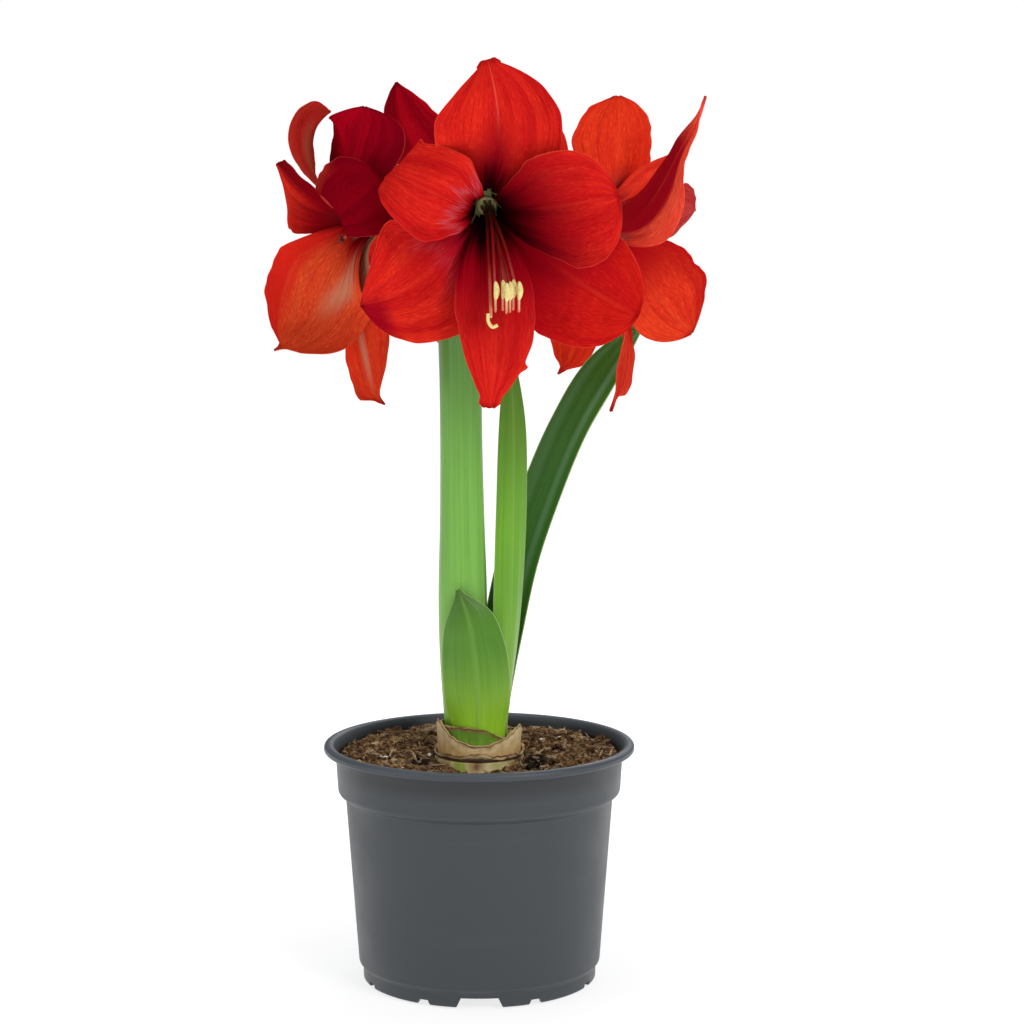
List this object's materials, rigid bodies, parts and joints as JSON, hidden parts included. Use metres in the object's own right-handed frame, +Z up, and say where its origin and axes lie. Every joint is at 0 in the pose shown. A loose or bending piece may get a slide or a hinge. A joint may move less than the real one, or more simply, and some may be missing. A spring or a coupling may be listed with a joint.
{
  "type": "potted amaryllis",
  "caption": "Flowering amaryllis bulb in a round nursery pot: a thick stalk with a head of open red blooms and broad strap leaves.",
  "frame": {"origin": "on the ground under the middle of the plant's box, which lies close to the pot's axis", "axes": "+Z up, -Y towards the side that the front bloom faces, +X to that viewer's right"},
  "size_m": [0.2094, 0.2213, 0.4368],
  "materials": {
    "pot": "moulded, slightly glossy dark grey",
    "soil": "rough dark brown peat",
    "bulb": "satin pale green and cream",
    "sheath": "satin green with a dry brown edge",
    "tunic": "dry papery brown",
    "scape": "waxy bluish green",
    "bract": "withered and papery",
    "leaf": "glossy green",
    "tube": "satin green",
    "sepal": "velvety red",
    "petal": "velvety red",
    "stamens": "matt pale yellow"
  },
  "bodies": {
    "root": {"pot": "pot", "soil": "soil", "bulb": "bulb", "leaf_base_sheath": "sheath", "inner_tunic": "tunic", "outer_tunic": "tunic", "scape": "scape", "front_bract": "bract", "back_bract": "bract", "leaf_front": "leaf", "leaf_middle": "leaf", "leaf_right": "leaf", "front_bloom_stalk": "tube", "front_stamens": "stamens", "front_sepal_top": "sepal", "front_sepal_right": "sepal", "front_sepal_left": "sepal", "front_petal_right": "petal", "front_petal_bottom": "petal", "front_petal_left": "petal", "left_bloom_stalk": "tube", "left_stamens": "stamens", "left_sepal_top": "sepal", "left_sepal_near": "sepal", "left_sepal_far": "sepal", "left_petal_near": "petal", "left_petal_bottom": "petal", "left_petal_far": "petal", "right_bloom_stalk": "tube", "right_stamens": "stamens", "right_sepal_top": "sepal", "right_sepal_far": "sepal", "right_sepal_near": "sepal", "right_petal_far": "petal", "right_petal_bottom": "petal", "right_petal_near": "petal", "back_bloom_stalk": "tube", "back_stamens": "stamens", "back_sepal_top": "sepal", "back_sepal_right": "sepal", "back_sepal_left": "sepal", "back_petal_right": "petal", "back_petal_bottom": "petal", "back_petal_left": "petal"}
  },
  "joints": []
}
